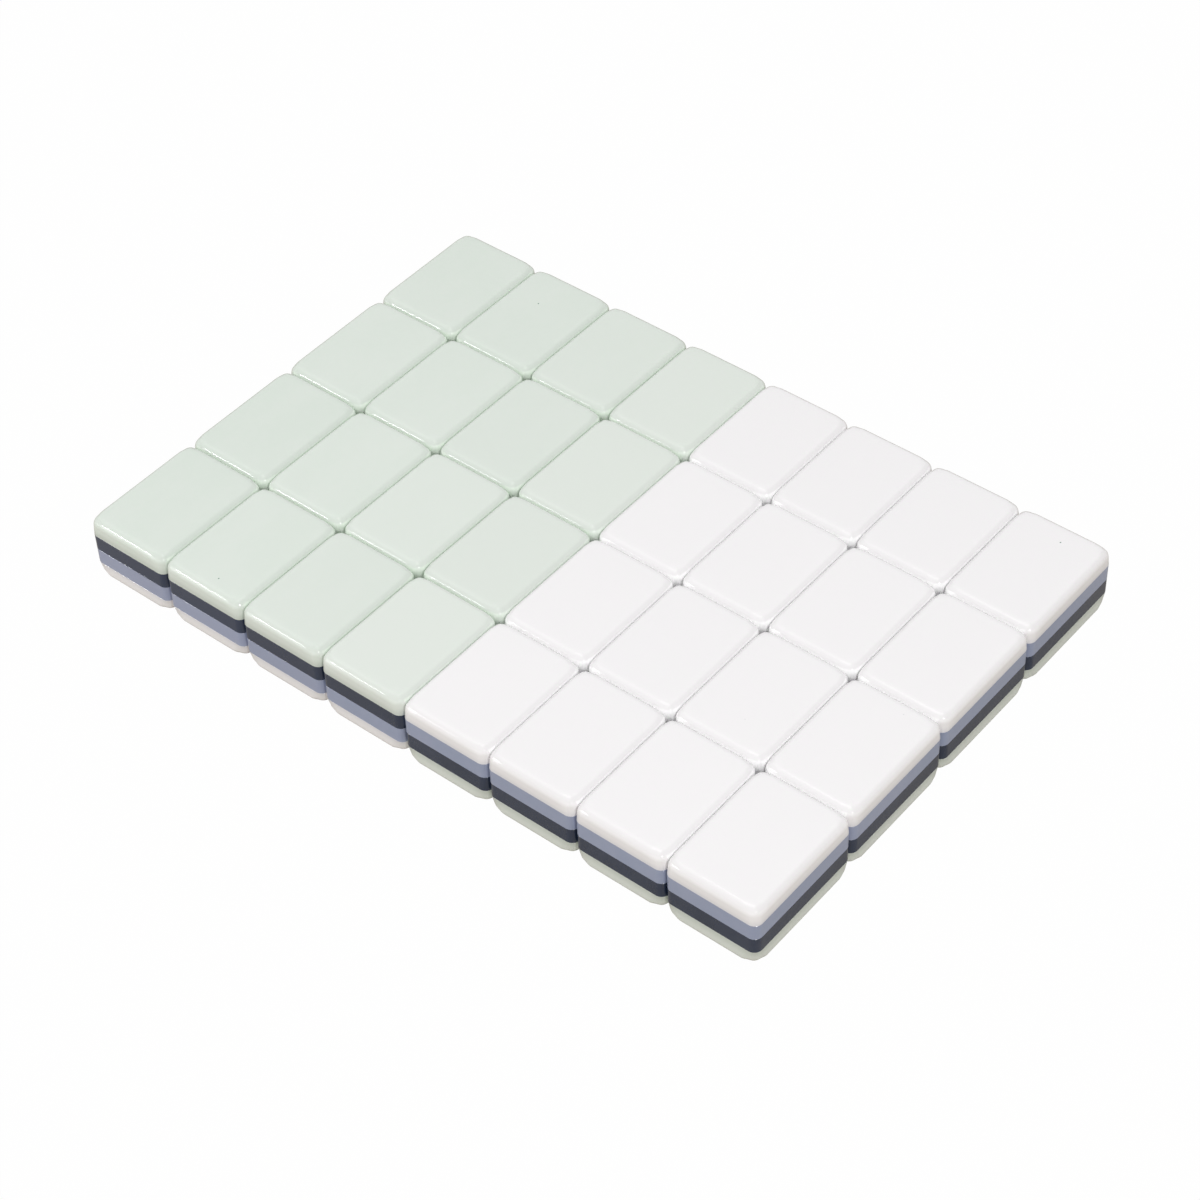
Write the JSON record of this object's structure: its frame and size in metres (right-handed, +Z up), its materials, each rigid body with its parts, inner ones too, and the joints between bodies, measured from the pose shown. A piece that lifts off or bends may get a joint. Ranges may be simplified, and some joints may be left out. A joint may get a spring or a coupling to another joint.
{
  "type": "mahjong tile block",
  "caption": "Tight flat block of blank layered mahjong tiles, green backs up on the left half and white faces up on the right half; the tiles lift straight off the table.",
  "frame": {"origin": "on the table surface, under the middle of the block", "axes": "+X along the eight columns, from the green side to the white side; +Y along the four rows, from the front row to the back; +Z up"},
  "size_m": [0.231, 0.1604, 0.0214],
  "materials": {
    "green_resin": "polished pale green resin, slightly translucent",
    "navy_resin": "polished dark navy resin",
    "lavender_resin": "polished grey lavender resin",
    "white_resin": "polished white resin, slightly translucent"
  },
  "bodies": {
    "front_tile_1": {"front_tile_1_green_back": "green_resin", "front_tile_1_navy_core": "navy_resin", "front_tile_1_lavender_core": "lavender_resin", "front_tile_1_white_face": "white_resin"},
    "front_tile_2": {"front_tile_2_green_back": "green_resin", "front_tile_2_navy_core": "navy_resin", "front_tile_2_lavender_core": "lavender_resin", "front_tile_2_white_face": "white_resin"},
    "front_tile_3": {"front_tile_3_green_back": "green_resin", "front_tile_3_navy_core": "navy_resin", "front_tile_3_lavender_core": "lavender_resin", "front_tile_3_white_face": "white_resin"},
    "front_tile_4": {"front_tile_4_green_back": "green_resin", "front_tile_4_navy_core": "navy_resin", "front_tile_4_lavender_core": "lavender_resin", "front_tile_4_white_face": "white_resin"},
    "front_tile_5": {"front_tile_5_green_back": "green_resin", "front_tile_5_navy_core": "navy_resin", "front_tile_5_lavender_core": "lavender_resin", "front_tile_5_white_face": "white_resin"},
    "front_tile_6": {"front_tile_6_green_back": "green_resin", "front_tile_6_navy_core": "navy_resin", "front_tile_6_lavender_core": "lavender_resin", "front_tile_6_white_face": "white_resin"},
    "front_tile_7": {"front_tile_7_green_back": "green_resin", "front_tile_7_navy_core": "navy_resin", "front_tile_7_lavender_core": "lavender_resin", "front_tile_7_white_face": "white_resin"},
    "front_tile_8": {"front_tile_8_green_back": "green_resin", "front_tile_8_navy_core": "navy_resin", "front_tile_8_lavender_core": "lavender_resin", "front_tile_8_white_face": "white_resin"},
    "side_tile_2": {"side_tile_2_green_back": "green_resin", "side_tile_2_navy_core": "navy_resin", "side_tile_2_lavender_core": "lavender_resin", "side_tile_2_white_face": "white_resin"},
    "side_tile_3": {"side_tile_3_green_back": "green_resin", "side_tile_3_navy_core": "navy_resin", "side_tile_3_lavender_core": "lavender_resin", "side_tile_3_white_face": "white_resin"},
    "side_tile_4": {"side_tile_4_green_back": "green_resin", "side_tile_4_navy_core": "navy_resin", "side_tile_4_lavender_core": "lavender_resin", "side_tile_4_white_face": "white_resin"},
    "inner_row_2": {"inner_row_2_green_back": "green_resin", "inner_row_2_navy_core": "navy_resin", "inner_row_2_lavender_core": "lavender_resin", "inner_row_2_white_face": "white_resin"},
    "inner_row_3": {"inner_row_3_green_back": "green_resin", "inner_row_3_navy_core": "navy_resin", "inner_row_3_lavender_core": "lavender_resin", "inner_row_3_white_face": "white_resin"},
    "inner_row_4": {"inner_row_4_green_back": "green_resin", "inner_row_4_navy_core": "navy_resin", "inner_row_4_lavender_core": "lavender_resin", "inner_row_4_white_face": "white_resin"}
  },
  "joints": [
    {"name": "front_tile_1_lift", "type": "slide", "parent": "inner_row_2", "child": "front_tile_1", "axis": [0, 0, 1], "range_m": [0, 0.03]},
    {"name": "front_tile_2_lift", "type": "slide", "parent": "inner_row_2", "child": "front_tile_2", "axis": [0, 0, 1], "range_m": [0, 0.03]},
    {"name": "front_tile_3_lift", "type": "slide", "parent": "inner_row_2", "child": "front_tile_3", "axis": [0, 0, 1], "range_m": [0, 0.03]},
    {"name": "front_tile_4_lift", "type": "slide", "parent": "inner_row_2", "child": "front_tile_4", "axis": [0, 0, 1], "range_m": [0, 0.03]},
    {"name": "front_tile_5_lift", "type": "slide", "parent": "inner_row_2", "child": "front_tile_5", "axis": [0, 0, 1], "range_m": [0, 0.03]},
    {"name": "front_tile_6_lift", "type": "slide", "parent": "inner_row_2", "child": "front_tile_6", "axis": [0, 0, 1], "range_m": [0, 0.03]},
    {"name": "front_tile_7_lift", "type": "slide", "parent": "inner_row_2", "child": "front_tile_7", "axis": [0, 0, 1], "range_m": [0, 0.03]},
    {"name": "front_tile_8_lift", "type": "slide", "parent": "inner_row_2", "child": "front_tile_8", "axis": [0, 0, 1], "range_m": [0, 0.03]},
    {"name": "side_tile_2_lift", "type": "slide", "parent": "inner_row_2", "child": "side_tile_2", "axis": [0, 0, 1], "range_m": [0, 0.03]},
    {"name": "side_tile_3_lift", "type": "slide", "parent": "inner_row_2", "child": "side_tile_3", "axis": [0, 0, 1], "range_m": [0, 0.03]},
    {"name": "side_tile_4_lift", "type": "slide", "parent": "inner_row_2", "child": "side_tile_4", "axis": [0, 0, 1], "range_m": [0, 0.03]},
    {"name": "inner_row_3_lift", "type": "slide", "parent": "inner_row_2", "child": "inner_row_3", "axis": [0, 0, 1], "range_m": [0, 0.03]},
    {"name": "inner_row_4_lift", "type": "slide", "parent": "inner_row_2", "child": "inner_row_4", "axis": [0, 0, 1], "range_m": [0, 0.03]}
  ]
}
